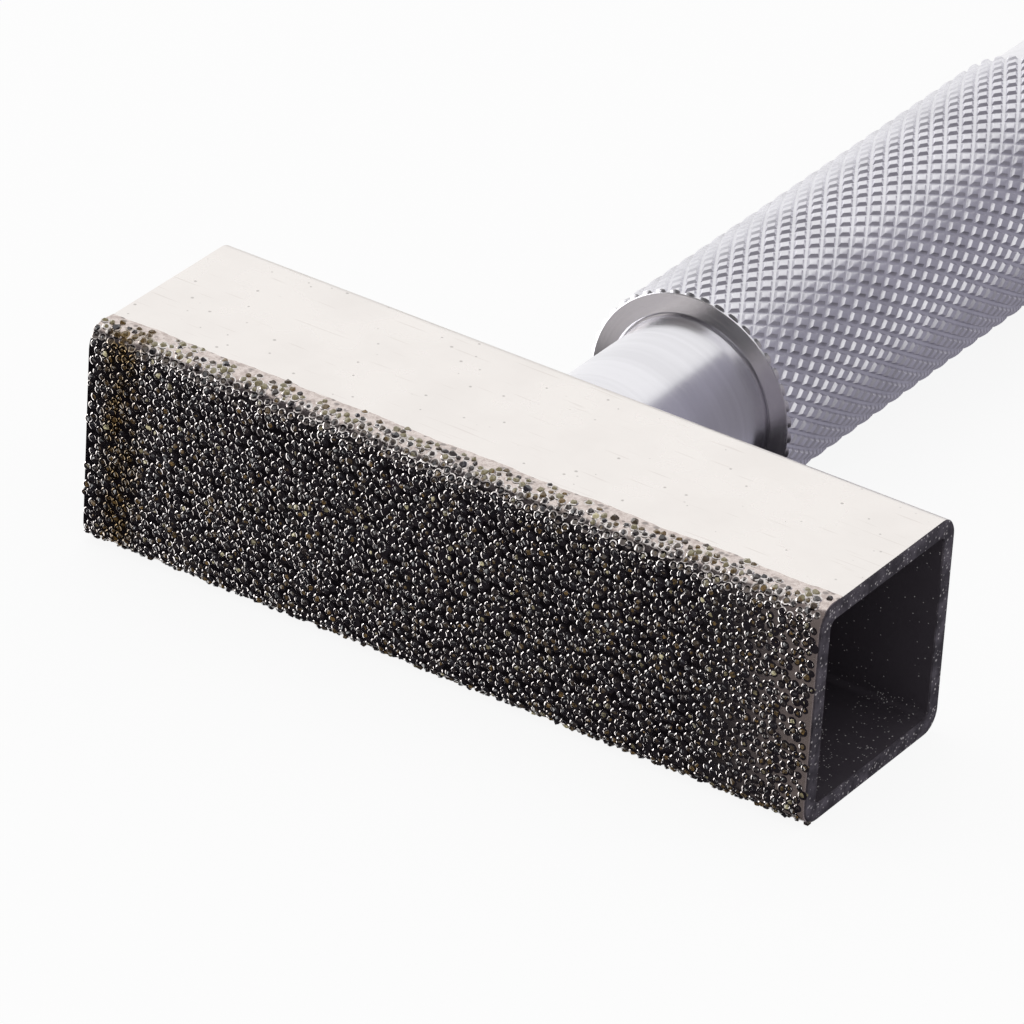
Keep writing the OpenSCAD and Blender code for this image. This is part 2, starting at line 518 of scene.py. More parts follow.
@dataclass(frozen=True, kw_only=True)
class FaceFinish(Finish):
    """Base of the finishes on the diamond face, whose painted shade and light change round its corners, and
    which have a stained band.
    """

    middle: float
    under_shift: float = 0.3 * MM
    band_middle: float = -20.3 * MM
    band_half: float = 1.7 * MM
    band_core: float = 0.3

    def depth(self, coat: Coat) -> NodeSocket:
        """Finds how far back a place lies, where the lower corner counts as further back."""
        under = coat.math("LESS_THAN", coat.z, self.middle)
        return coat.math("MULTIPLY_ADD", under, self.under_shift, coat.y)

    def band(self, coat: Coat, most: float = 1.0) -> NodeSocket:
        """Masks the stained band near the left end, with a value of its own in the middle."""
        off = coat.math("ABSOLUTE", coat.minus(coat.x, self.band_middle))
        return coat.span(off, self.band_half, self.band_core * self.band_half, 0.0, most)


@dataclass(frozen=True, kw_only=True)
class BondNickel(FaceFinish):
    """The plated film under the grains: dark on the front as painted shade, light round the corners, with a
    lighter, less metallic tone on the front at the right end.
    """

    name: str = "bond_nickel"
    light: Colour = shade(224, 212, 206)
    dull: Colour = shade(188, 174, 168)
    # painted shade: the film on the front is given this dark tone
    dark: Colour = shade(120, 113, 116)
    pit: Colour = shade(112, 104, 102)
    pit_share: float = 0.7
    border: Range = (-6.06 * MM, -5.9 * MM)
    waver: float = 0.5 * MM
    # a lighter, less metallic tone for the front at the right end, in place of the painted shade
    right_end_tone: Colour = shade(148, 134, 130)
    right_end_metal: float = 0.5
    right_end: Range = (15.0 * MM, 22.5 * MM)
    roughness: Range = (0.18, 0.32)
    relief_depth: float = 0.01 * MM

    def paint(self, coat: Coat) -> None:
        """Paints shade on the front as the dark film tone, up to a wavering border behind which the light
        film shows, and gives the right end of the front a lighter, less metallic tone.

        Args:
            coat: The film's nodes.
        """
        relief = coat.group(self.groups.relief, Coarse=2500.0, Fine=9000.0, Fine_share=0.4)
        pits = coat.group(self.groups.specks, Scale=2600.0, Share=0.4, Size=0.5)
        depth = coat.math("MULTIPLY_ADD", coat.noise(coat.place, scale=1500.0), self.waver, self.depth(coat))
        # painted shade: edge is 0 on the front, where the film takes the dark tone, and 1 behind the border
        edge = coat.span(coat.minus(depth, self.waver / 2), *self.border)
        # the right end of the front, where the lighter tone replaces the painted shade
        right_front = coat.times(coat.span(coat.x, *self.right_end), coat.minus(1.0, edge))
        tone = coat.blend(coat.span(relief, 0.4, 0.65), self.light, self.dull)
        tone = coat.blend(coat.times(pits, self.pit_share), tone, self.pit)
        # painted shade: the dark tone goes where edge is 0, except at the right end of the front
        tone = coat.blend(right_front, coat.blend(edge, self.dark, tone), self.right_end_tone)
        metal = coat.math("MULTIPLY_ADD", right_front, self.right_end_metal - 1.0, 1.0)
        rough = coat.span(relief, 0.35, 0.65, *self.roughness)
        coat.set(Base_Color=tone, Metallic=metal, Roughness=rough)
        coat.bump(relief, self.relief_depth)


@dataclass(frozen=True, kw_only=True)
class MeniscusNickel(FaceFinish):
    """The bright rims of nickel that have grown up round the grains."""

    name: str = "meniscus_nickel"
    light: Colour = shade(226, 220, 217)
    dull: Colour = shade(188, 181, 178)
    # painted shade: rims where the corner begins are given this dark tone
    dark: Colour = shade(110, 103, 102)
    brown: Colour = shade(118, 94, 46)
    stain: Range = (0.3, 0.9)
    flat: Range = (-6.1 * MM, -6.2 * MM)
    border: Range = (-6.08 * MM, -5.95 * MM)
    roughness: float = 0.1
    relief_depth: float = 0.004 * MM

    def paint(self, coat: Coat) -> None:
        """Paints shade on the rims where the corner begins, as the dark tone, and stains those in the band.

        Args:
            coat: The rims' nodes.
        """
        cloud = coat.noise(coat.place, scale=3000.0)
        behind = coat.span(self.depth(coat), *self.border)
        # painted shade: clear is 0 on the rims where the corner begins, which take the dark tone
        clear = coat.math("MAXIMUM", behind, coat.span(coat.y, *self.flat))
        stain = coat.span(coat.noise(coat.place, scale=900.0), 0.35, 0.6, *self.stain)
        tone = coat.blend(coat.span(cloud, 0.4, 0.65), self.light, self.dull)
        tone = coat.blend(coat.times(stain, self.band(coat)), tone, self.brown)
        coat.set(Metallic=1.0, Roughness=self.roughness, Base_Color=coat.blend(clear, self.dark, tone))
        coat.bump(cloud, self.relief_depth)


@dataclass(frozen=True, kw_only=True)
class DiamondGrain(FaceFinish):
    """Synthetic diamond grains: most nearly black, some brown, amber or pale, a few pale yellow as painted
    glints, and lighter round the corners as painted light.
    """

    name: str = "diamond_grain"
    tints: tuple[tuple[float, Colour], ...] = (
        (0.0, shade(28, 25, 31)),
        (0.25, shade(44, 40, 46)),
        (0.5, shade(62, 54, 52)),
        (0.68, shade(82, 69, 55)),
        (0.8, shade(108, 88, 56)),
        (0.9, shade(128, 102, 60)),
        (0.95, shade(148, 138, 106)),
    )
    last_tint: float = 0.98
    # painted highlight: a few grains are given this pale yellow as glints
    painted_glint: Colour = shade(222, 212, 170)
    painted_glint_from: float = 0.987
    brown: Colour = shade(98, 74, 30)
    brown_from: float = 0.2
    brown_share: float = 0.85
    dusk: Colour = shade(20, 17, 19)
    dusk_share: float = 0.8
    # painted light: grains round the corners keep less of the dark mottling
    corner_light_dusk: float = 0.35
    right_end: Range = (-8.0 * MM, 20.0 * MM)
    right_shares: Range = (0.02, 0.34)
    border: Range = (-6.1 * MM, -5.8 * MM)
    # painted light: grains round the corners are pushed to lighter tints
    corner_light_share: float = 0.45
    refraction: float = 1.8
    roughness: float = 0.2

    def paint(self, coat: Coat) -> None:
        """Picks each grain's tint, lighter toward the right end, and lighter round the corners as painted
        light.

        Args:
            coat: The grains' nodes.
        """
        source = coat.add("ShaderNodeAttribute", attribute_name=Layer.TINT.value, attribute_type="GEOMETRY")
        tint = source.outputs["Fac"]
        # painted light: corner lifts the grains round the corners to lighter tints
        corner = coat.span(coat.y, *self.border, 0.0, self.corner_light_share)
        right = coat.span(coat.x, *self.right_end, *self.right_shares)
        kept = coat.times(tint, coat.minus(1.0, right))
        pick = coat.math("ADD", kept, coat.math("MAXIMUM", right, corner))
        tone = coat.steps(coat.math("MINIMUM", pick, self.last_tint), self.tints)
        stained = coat.math("GREATER_THAN", tint, self.brown_from)
        tone = coat.blend(coat.times(self.band(coat, self.brown_share), stained), tone, self.brown)
        # painted highlight: the few grains with the highest draws take the pale yellow as glints
        tone = coat.blend(coat.math("GREATER_THAN", tint, self.painted_glint_from), tone, self.painted_glint)
        cloud = coat.span(coat.noise(coat.place, scale=9000.0), 0.4, 0.66, 0.0, self.dusk_share)
        # painted light: less dark mottling on the grains round the corners
        front = coat.span(corner, 0.0, self.corner_light_share, 1.0, self.corner_light_dusk)
        tone = coat.blend(coat.times(cloud, front), tone, self.dusk)
        coat.set(IOR=self.refraction, Roughness=self.roughness, Base_Color=tone)


@dataclass(frozen=True, kw_only=True)
class TurnedAluminium(Finish):
    """Bright aluminium with the fine rings that a lathe leaves."""

    name: str = "turned_aluminium"
    axis_height: float
    light: Colour = shade(236, 235, 239)
    dull: Colour = shade(226, 225, 229)
    ring_depth: float = 0.0001 * MM
    roughness: Range = (0.22, 0.27)

    def paint(self, coat: Coat) -> None:
        """Lays two near tones in bands, with the rings in roughness and bump.

        Args:
            coat: The aluminium's nodes.
        """
        marks = coat.group(self.groups.turning, Axis_height=self.axis_height).outputs
        tone = coat.blend(coat.span(marks["Band"], 0.35, 0.7), self.light, self.dull)
        rough = coat.span(marks["Height"], 0.3, 0.7, *self.roughness)
        coat.set(Metallic=1.0, Base_Color=tone, Roughness=rough)
        coat.bump(marks["Height"], self.ring_depth)


@dataclass(frozen=True, kw_only=True)
class PlatedSteel(Finish):
    """Small steel pieces of the hidden fixing."""

    light: Colour
    dull: Colour
    roughness: Range
    relief_depth: float = 0.006 * MM

    def paint(self, coat: Coat) -> None:
        """Clouds two tones of grey.

        Args:
            coat: The steel's nodes.
        """
        relief = coat.group(self.groups.relief, Coarse=700.0, Fine=5000.0, Fine_share=0.35)
        tone = coat.blend(coat.span(relief, 0.35, 0.65), self.light, self.dull)
        coat.set(Metallic=1.0, Base_Color=tone, Roughness=coat.span(relief, 0.35, 0.65, *self.roughness))
        coat.bump(relief, self.relief_depth)


def new_piece(name: str, mesh: Mesh) -> Object:
    """Puts a mesh into the scene as an object at the origin.

    Args:
        name: The piece's name.
        mesh: Its mesh.

    Returns:
        The new object.
    """
    piece = bpy.data.objects.new(name, mesh)
    bpy.context.scene.collection.objects.link(piece)
    return piece


def make_mesh(shape: BMesh, name: str, outward: bool = True) -> Mesh:
    """Turns a working shape into a mesh and frees the shape.

    Args:
        shape: The working shape.
        name: The mesh's name.
        outward: Whether its faces are turned outward first, as a closed shape needs.

    Returns:
        The mesh.
    """
    if outward:
        bmesh.ops.recalc_face_normals(shape, faces=shape.faces)
    mesh = bpy.data.meshes.new(name)
    shape.to_mesh(mesh)
    shape.free()
    return mesh


def join_rings(shape: BMesh, first: Sequence[BMVert], second: Sequence[BMVert], skin: int = 0) -> None:
    """Joins two closed rings of points by a band of faces.

    Args:
        shape: The working shape.
        first: The points of one ring.
        second: The points of the other, the same number.
        skin: Material index of the band.
    """
    for step in range(len(first)):
        after = (step + 1) % len(first)
        face = shape.faces.new((first[step], first[after], second[after], second[step]))
        face.material_index = skin


def circle(count: int) -> list[tuple[float, float]]:
    """Gives the cosine and sine of equal steps round a circle."""
    angles = [2 * math.pi * step / count for step in range(count)]
    return [(math.cos(angle), math.sin(angle)) for angle in angles]


def soften(mesh: Mesh, sharp: float) -> None:
    """Shades a mesh smooth, apart from edges that turn by more than an angle.

    Args:
        mesh: The mesh.
        sharp: The angle in degrees.
    """
    mesh.polygons.foreach_set("use_smooth", [True] * len(mesh.polygons))
    mesh.set_sharp_from_angle(angle=math.radians(sharp))
    mesh.update()


def seat(piece: Object, slot: Slot, *nodes: str) -> None:
    """Makes a piece ride on the tool and stand for CAD nodes.

    Args:
        piece: The piece.
        slot: Not used.
        nodes: CAD nodes that it replaces.
    """
    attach(piece, BODY)
    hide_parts(*nodes)
    LOG.info("%s: %d faces", piece.name, len(piece.data.polygons))


def settle(piece: Object, modifier: bpy.types.Modifier) -> Mesh:
    """Takes the mesh that a modifier makes of a piece, and removes the modifier.

    Args:
        piece: The piece.
        modifier: Its only modifier.

    Returns:
        The plain mesh.
    """
    view = bpy.context.evaluated_depsgraph_get()
    result = piece.evaluated_get(view)
    mesh = bpy.data.meshes.new_from_object(result, preserve_all_data_layers=True, depsgraph=view)
    piece.modifiers.remove(modifier)
    return mesh


def run_tree(carrier: Object, tree: NodeTree, values: dict[str, Any], name: str) -> Object:
    """Runs a geometry node group on a carrier and keeps the result as a plain mesh.

    Args:
        carrier: The object that the group starts from.
        tree: The geometry node group.
        values: The group's inputs by name.
        name: Name of the new piece.

    Returns:
        The new piece.
    """
    modifier = carrier.modifiers.new(name, "NODES")
    modifier.node_group = tree
    for item in tree.interface.items_tree:
        if item.item_type == "SOCKET" and item.in_out == "INPUT" and item.name in values:
            modifier[item.identifier] = values[item.name]
    mesh = settle(carrier, modifier)
    mesh.name = name
    return new_piece(name, mesh)


@dataclass
class HeadTube:
    """The square tube, drawn with round corners and sawn off at both ends."""

    low: Vector
    high: Vector
    wall: float = 1.0 * MM
    corner: float = 1.2 * MM
    inner_corner: float = 0.4 * MM
    edge_break: float = 0.07 * MM
    hole_radius: float = 3.2 * MM
    corner_steps: int = 10
    hole_steps: int = 64
    sharp_angle: float = 30.0

    @property
    def axis_height(self) -> float:
        """Height of the tube's middle."""
        return (self.low.z + self.high.z) / 2

    @property
    def side(self) -> float:
        """Outside width of the tube."""
        return self.high.z - self.low.z

    @property
    def half_length(self) -> float:
        """Half the tube's length."""
        return (self.high.x - self.low.x) / 2

    def loop(self, side: float, corner: float) -> list[tuple[float, float]]:
        """Points of a round-cornered square in Y and Z about the tube's middle.

        Args:
            side: Width of the square.
            corner: Radius of its corners.

        Returns:
            The points, the same number for every size.
        """
        reach = side / 2 - corner
        points = []
        for turn, (sy, sz) in enumerate(((1, 1), (-1, 1), (-1, -1), (1, -1))):
            for step in range(self.corner_steps + 1):
                angle = math.pi / 2 * (turn + step / self.corner_steps)
                points.append((sy * reach + corner * math.cos(angle), sz * reach + corner * math.sin(angle)))
        return points

    def rings(self) -> list[tuple[float, float, float, TubeSkin]]:
        """Lists the stations round the wall, from the bore out over the right end and back over the left one.

        Returns:
            For each station: place along X, side, corner radius and the skin that follows.
        """
        half, cut = self.half_length, self.edge_break
        hollow = self.side - 2 * self.wall
        return [
            (cut - half, hollow, self.inner_corner, TubeSkin.BORE),
            (half - cut, hollow, self.inner_corner, TubeSkin.CUT_END),
            (half, hollow + 2 * cut, self.inner_corner + cut, TubeSkin.CUT_END),
            (half, self.side - 2 * cut, self.corner - cut, TubeSkin.CUT_END),
            (half - cut, self.side, self.corner, TubeSkin.PLATED),
            (cut - half, self.side, self.corner, TubeSkin.CUT_END),
            (-half, self.side - 2 * cut, self.corner - cut, TubeSkin.CUT_END),
            (-half, hollow + 2 * cut, self.inner_corner + cut, TubeSkin.CUT_END),
        ]

    def build(self, skins: Sequence[Material]) -> Object:
        """Makes the tube with the hole for the handle in its back wall.

        Args:
            skins: Materials in the order of TubeSkin.

        Returns:
            The tube.
        """
        shape = bmesh.new()
        rings = self.rings()
        rows = []
        for x, side, corner, _ in rings:
            rows.append([shape.verts.new((x, y, z + self.axis_height)) for y, z in self.loop(side, corner)])
        for row, following, (*_, part) in zip(rows, rows[1:] + rows[:1], rings):
            join_rings(shape, row, following, part.value)
        mesh = make_mesh(shape, "tube")
        for skin in skins:
            mesh.materials.append(skin)
        piece = new_piece("tube", mesh)
        self.drill(piece, skins[TubeSkin.BORE.value])
        soften(piece.data, self.sharp_angle)
        return piece

    def drill(self, piece: Object, skin: Material) -> None:
        """Cuts the handle's hole through the back wall.

        Args:
            piece: The tube.
            skin: Material of the hole's wall.
        """
        shape = bmesh.new()
        middle = Matrix.Translation((0, self.high.y - self.wall / 2, self.axis_height))
        bmesh.ops.create_cone(
            shape, cap_ends=True, segments=self.hole_steps, depth=3 * self.wall,
            radius1=self.hole_radius, radius2=self.hole_radius,
            matrix=middle @ Matrix.Rotation(math.pi / 2, 4, "X"),
        )
        mesh = make_mesh(shape, "drill")
        mesh.materials.append(skin)
        cutter = new_piece("drill", mesh)
        cut = piece.modifiers.new("hole", "BOOLEAN")
        cut.operation = "DIFFERENCE"
        cut.object = cutter
        cut.solver = "EXACT"
        piece.data = settle(piece, cut)
        bpy.data.objects.remove(cutter)


@dataclass
class DiamondFace:
    """The plated film on the front of the tube, with the grains and the menisci that hold them."""

    tube: HeadTube
    film: float = 0.12 * MM
    film_edge: float = 0.015 * MM
    film_fade: float = 1.1 * MM
    film_sharp: float = 50.0
    sink: float = 0.02 * MM
    wrap_top: float = 2.65 * MM
    wrap_bottom: float = 1.5 * MM
    wrap_drift: float = 0.12 * MM
    top_phase: float = 0.3
    bottom_phase: float = 1.9
    waves: tuple[Range, ...] = ((0.9, 0.0), (2.3, 1.7), (5.1, 0.4), (11.3, 2.6))
    end_margin: float = 0.26 * MM
    under_shift: float = 0.6 * MM
    shares: tuple[Range, ...] = ((1.75 * MM, 1.0), (2.1 * MM, 0.6), (2.5 * MM, 0.25))
    rim_shares: tuple[Range, ...] = ((1.7 * MM, 1.0), (2.1 * MM, 0.35), (2.5 * MM, 0.25))
    stand: Range = (0.8 * MM, 1.5 * MM)
    stand_lift: float = 0.42
    step: float = 0.3 * MM
    arc_steps: int = 14
    spacing: float = 0.37 * MM
    crowding: float = 4.0
    grain: float = 0.195 * MM
    grain_spread: float = 0.2
    grain_kinds: int = 6
    grain_cuts: Range = (0.3, 0.6)
    grain_stretch: float = 0.18
    grain_jitter: float = 0.05
    grain_lift: Range = (-0.75, -0.48)
    rim: float = 0.225 * MM
    rim_rings: tuple[Range, ...] = ((1.1, -0.01), (0.86, 0.13), (0.6, 0.06))
    rim_steps: int = 12
    rim_flatness: Range = (0.6, 1.25)
    rim_sharp: float = 20.0
    seed: int = 11

    def drift(self, x: float, phase: float) -> float:
        """Works out the uneven run of the film's edge along the tube.

        Args:
            x: The place along the tube.
            phase: Which of the edges, as a phase of the waves.

        Returns:
            The run, from about -1 to 1.
        """
        total = 0.0
        for index, (rate, shift) in enumerate(self.waves):
            total += math.sin(rate * x / MM + phase * (1 + shift) + shift) / (1 + index)
        return total / 2

    def section(self, x: float) -> list[tuple[float, float, float, float, float]]:
        """Points across the film at one place along the tube, from its upper edge to its lower one.

        Args:
            x: The place along the tube.

        Returns:
            For each point: Y, Z, the angle from the front, the run round the corner and the film's thickness.
        """
        tube = self.tube
        reach = tube.side / 2 - tube.corner
        front = -tube.side / 2
        quarter = tube.corner * math.pi / 2
        flat_steps = max(2, round(2 * reach / self.step))
        arcs = []
        edges = ((1, self.wrap_top, self.top_phase), (-1, self.wrap_bottom, self.bottom_phase))
        for side, wrap, phase in edges:
            far = wrap + self.wrap_drift * self.drift(x, phase)
            arc = []
            for step in range(self.arc_steps + 1):
                run = far * (1 - step / self.arc_steps)
                angle = min(run, quarter) / tube.corner
                thick = self.film_edge + (self.film - self.film_edge) * min(1.0, (far - run) / self.film_fade)
                out = tube.corner + thick
                y = front + tube.corner - out * math.cos(angle) + max(0.0, run - quarter)
                arc.append((y, side * (reach + out * math.sin(angle)), angle, run, thick))
            arcs.append(arc)
        flat = []
        for step in range(1, flat_steps):
            flat.append((front - self.film, reach * (1 - 2 * step / flat_steps), 0.0, 0.0, self.film))
        return arcs[0] + flat + arcs[1][::-1]

    def density(self, shares: Sequence[Range], inset: float, run: float) -> float:
        """Share of places that are taken: full on the flat, fewer round the corners, none at the very ends.

        Args:
            shares: Shares from 0 to 1, each with the run round the corner up to which it holds.
            inset: Distance from the nearer end of the tube.
            run: How far round a corner the place is.

        Returns:
            The share from 0 to 1.
        """
        if inset < self.end_margin:
            return 0.0
        return next((share for end, share in shares if run < end), 0.0)

    def build_film(self, skin: Material) -> tuple[Object, Object]:
        """Makes the closed film and the open sheet that the grains are scattered on.

        Args:
            skin: The film's material.

        Returns:
            The film and the sheet.
        """
        half = self.tube.half_length - self.tube.edge_break
        count = round(2 * half / self.step)
        start, end = self.stand
        outer, inner = [], []
        layers = {Layer.GRIT: [], Layer.RIMS: [], Layer.STAND: []}
        for index in range(count + 1):
            x = half * (2 * index / count - 1)
            for y, z, angle, run, thick in self.section(x):
                normal = Vector((0, -math.cos(angle), math.copysign(math.sin(angle), z)))
                point = Vector((x, y, z + self.tube.axis_height))
                outer.append(point)
                inner.append(point - normal * (thick + self.sink))
                turned = run + self.under_shift if z < 0 < run else run
                layers[Layer.GRIT].append(self.density(self.shares, half - abs(x), turned))
                layers[Layer.RIMS].append(self.density(self.rim_shares, half - abs(x), turned))
                layers[Layer.STAND].append(min(1.0, max(0.0, (turned - start) / (end - start))))
        across = len(outer) // (count + 1)
        faces = []
        for row, column in product(range(count), range(across - 1)):
            first = row * across + column
            faces.append((first, first + 1, first + across + 1, first + across))
        sheet = bpy.data.meshes.new("sheet")
        sheet.from_pydata(outer, [], faces)
        for layer, values in layers.items():
            sheet.attributes.new(layer.value, "FLOAT", "POINT").data.foreach_set("value", values)

        shape = bmesh.new()
        front = [shape.verts.new(point) for point in outer]
        back = [shape.verts.new(point) for point in inner]
        for face in faces:
            shape.faces.new([front[index] for index in face])
            shape.faces.new([back[index] for index in reversed(face)])
        rim = list(range(across))
        rim += [row * across + across - 1 for row in range(1, count + 1)]
        rim += [count * across + column for column in range(across - 2, -1, -1)]
        rim += [row * across for row in range(count - 1, 0, -1)]
        for first, second in zip(rim, rim[1:] + rim[:1]):
            shape.faces.new((front[first], back[first], back[second], front[second]))
        mesh = make_mesh(shape, "bond_film")
        mesh.materials.append(skin)
        soften(mesh, self.film_sharp)
        return new_piece("bond_film", mesh), new_piece("sheet", sheet)

    def grain_kind(self, number: int) -> Object:
        """Makes one crystal: a cube cut back to an octahedron, a little off true.

        Args:
            number: Which of the kinds.

        Returns:
            An object that isn't in the scene.
        """
        rng = np.random.default_rng(self.seed + number)
        least, most = self.grain_cuts
        cut = least + (most - least) * number / max(1, self.grain_kinds - 1)
        turns = (1, 2) if number % 2 else (1,)
        stretch = 1 + rng.uniform(-self.grain_stretch, self.grain_stretch, 3)
        shape = bmesh.new()
        for axis, sign, other, turn in product(range(3), (-1, 1), (-1, 1), turns):
            spot = np.zeros(3)
            spot[axis] = sign
            spot[(axis + turn) % 3] = other * cut
            jitter = rng.uniform(-self.grain_jitter, self.grain_jitter, 3)
            shape.verts.new(spot / np.linalg.norm(spot) * stretch + jitter)
        hull = bmesh.ops.convex_hull(shape, input=shape.verts)
        inside = [item for item in hull["geom_interior"] if isinstance(item, BMVert)]
        bmesh.ops.delete(shape, geom=inside, context="VERTS")
        mesh = make_mesh(shape, f"grain_kind_{number}")
        return bpy.data.objects.new(mesh.name, mesh)

    def rim_kind(self) -> Object:
        """Makes the raised ring of nickel that a grain sits in, closed below and dished above.

        Returns:
            An object that isn't in the scene.
        """
        shape = bmesh.new()
        rows = []
        for radius, height in self.rim_rings:
            ring = [(radius * cosine, radius * sine, height) for cosine, sine in circle(self.rim_steps)]
            rows.append([shape.verts.new(point) for point in ring])
        for lower, upper in zip(rows, rows[1:]):
            join_rings(shape, lower, upper)
        shape.faces.new(list(reversed(rows[0])))
        shape.faces.new(rows[-1])
        mesh = make_mesh(shape, "rim_kind")
        return bpy.data.objects.new(mesh.name, mesh)

    def scatter_tree(self, name: str, standing: bool) -> NodeTree:
        """Builds the group that scatters small shapes over the sheet.

        Args:
            name: The group's name.
            standing: Whether the shapes stand square on the surface, as menisci do, or lie any way round.

        Returns:
            The group.
        """
        inputs = {
            "Geometry": "Geometry", "Kinds": "Collection", "Spacing": "Float", "Size": "Float",
            "Spread": "Float", "Seed": "Int", "Material": "Material",
        }
        board, given, result = new_group(Family.GEOMETRY, name, inputs, {"Geometry": "Geometry"})

        def read(layer: Layer) -> NodeSocket:
            """Adds a node that reads a layer and returns its output."""
            node = board.add("GeometryNodeInputNamedAttribute", {"Name": layer.value}, data_type="FLOAT")
            return node.outputs["Attribute"]

        def draw(seed: Draw, low: float, high: float) -> NodeSocket:
            """Adds a random number and returns its output."""
            limits = {2: low, 3: high, "Seed": seed.value}
            return board.add("FunctionNodeRandomValue", limits, data_type="FLOAT").outputs[1]

        points = board.add("GeometryNodeDistributePointsOnFaces", {
            "Mesh": given["Geometry"], "Distance Min": given["Spacing"], "Seed": given["Seed"],
            "Density Max": self.crowding / self.spacing ** 2,
            "Density Factor": read(Layer.RIMS if standing else Layer.GRIT),
        }, distribute_method="POISSON").outputs
        scattered = board.add("GeometryNodeStoreNamedAttribute", {
            "Geometry": points["Points"], "Name": Layer.TINT.value, "Value": draw(Draw.TINT, 0.0, 1.0),
        }, data_type="FLOAT", domain="POINT")
        grow = board.math("MULTIPLY_ADD", draw(Draw.SIZE, -1.0, 1.0), given["Spread"], 1.0)
        size = board.times(grow, given["Size"])
        if standing:
            turn = points["Rotation"]
            size = board.join(size, size, board.times(size, draw(Draw.FLATNESS, *self.rim_flatness)))
        else:
            lift = draw(Draw.LIFT, *self.grain_lift)
            height = board.math("MULTIPLY_ADD", read(Layer.STAND), self.stand_lift, lift)
            rise = board.vector("SCALE", points["Normal"], Scale=board.times(height, size))
            scattered = board.add("GeometryNodeSetPosition", {"Geometry": scattered, "Offset": rise})
            limits = {0: (0.0, 0.0, 0.0), 1: (math.tau, math.tau, math.tau), "Seed": Draw.TURN.value}
            turn = board.add("FunctionNodeRandomValue", limits, data_type="FLOAT_VECTOR")
        kinds = board.add("GeometryNodeCollectionInfo", {
            "Collection": given["Kinds"], "Separate Children": True, "Reset Children": True,
        })
        copies = board.add("GeometryNodeInstanceOnPoints", {
            "Points": scattered, "Instance": kinds, "Pick Instance": True, "Rotation": turn, "Scale": size,
        })
        real = board.add("GeometryNodeRealizeInstances", {"Geometry": copies})
        dressed = board.add("GeometryNodeSetMaterial", {"Geometry": real, "Material": given["Material"]})
        board.feed(result["Geometry"], dressed)
        return board.tree

    def scatter(
        self, sheet: Object, name: str, kinds: list[Object], skin: Material, standing: bool,
    ) -> Object:
        """Scatters small shapes over the sheet.

        Args:
            sheet: The sheet.
            name: The new piece's name.
            kinds: The shapes to pick from.
            skin: Their material.
            standing: Whether they stand square on the surface.

        Returns:
            The new piece.
        """
        box = bpy.data.collections.new(f"{name}_kinds")
        for kind in kinds:
            box.objects.link(kind)
        values = {
            "Kinds": box, "Spacing": self.spacing, "Size": self.rim if standing else self.grain,
            "Spread": self.grain_spread, "Seed": self.seed, "Material": skin,
        }
        piece = run_tree(sheet, self.scatter_tree(name, standing), values, name)
        for kind in kinds:
            bpy.data.objects.remove(kind)
        bpy.data.collections.remove(box)
        return piece

    def build(self, bond: Material, rim: Material, grain: Material) -> list[Object]:
        """Makes the film, the menisci and the grains.

        Args:
            bond: Material of the film.
            rim: Material of the menisci.
            grain: Material of the grains.

        Returns:
            The three pieces.
        """
        film, sheet = self.build_film(bond)
        rims = self.scatter(sheet, "nickel_menisci", [self.rim_kind()], rim, True)
        soften(rims.data, self.rim_sharp)
        kinds = [self.grain_kind(number) for number in range(self.grain_kinds)]
        grains = self.scatter(sheet, "diamond_grains", kinds, grain, False)
        bpy.data.objects.remove(sheet)
        return [film, rims, grains]


